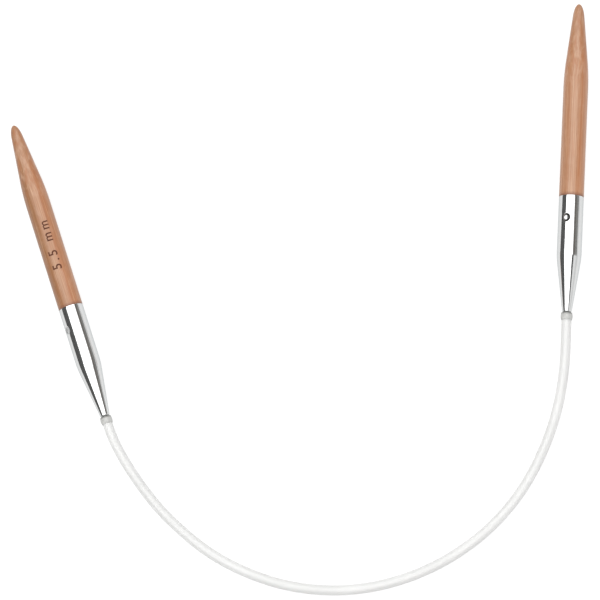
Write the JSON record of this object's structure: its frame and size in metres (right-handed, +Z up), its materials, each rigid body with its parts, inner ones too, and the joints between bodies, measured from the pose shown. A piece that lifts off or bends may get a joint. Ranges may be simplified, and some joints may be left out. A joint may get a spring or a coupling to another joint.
{
  "type": "circular knitting needle",
  "caption": "Circular knitting needle: short tapered bamboo tips in polished metal ferrules that swivel on the ends of a clear nylon cable, lying flat in an open bow.",
  "frame": {"origin": "on the table, under the middle of the box around the two needles (the cable is left out of that box)", "axes": "+X across from the left needle to the right one, +Y the way the points go, +Z up from the table; the cable bows towards -Y"},
  "size_m": [0.1302, 0.133, 0.0055],
  "materials": {
    "bamboo": "carbonised bamboo, fine straight fibres under a satin varnish",
    "ferrule": "polished nickel-chrome plate",
    "cable": "clear, slightly milky nylon, smooth",
    "collar": "clear nylon bead, greyish",
    "pin": "turned stainless steel, plain"
  },
  "bodies": {
    "cord": {"cable": "cable", "left_collar": "collar", "right_collar": "collar", "left_swivel_pin": "pin", "right_swivel_pin": "pin"},
    "left_needle": {"left_ferrule": "ferrule", "left_tip": "bamboo"},
    "right_needle": {"right_ferrule": "ferrule", "right_tip": "bamboo"}
  },
  "joints": [
    {"name": "left_swivel", "type": "hinge", "parent": "cord", "child": "left_needle", "pos_m": [-0.0415, -0.04685, 0.00275], "axis": [-0.3272, 0.9449, 0], "continuous": true},
    {"name": "right_swivel", "type": "hinge", "parent": "cord", "child": "right_needle", "pos_m": [0.0604, -0.0233, 0.00275], "axis": [0.0384, 0.9993, 0], "continuous": true}
  ]
}
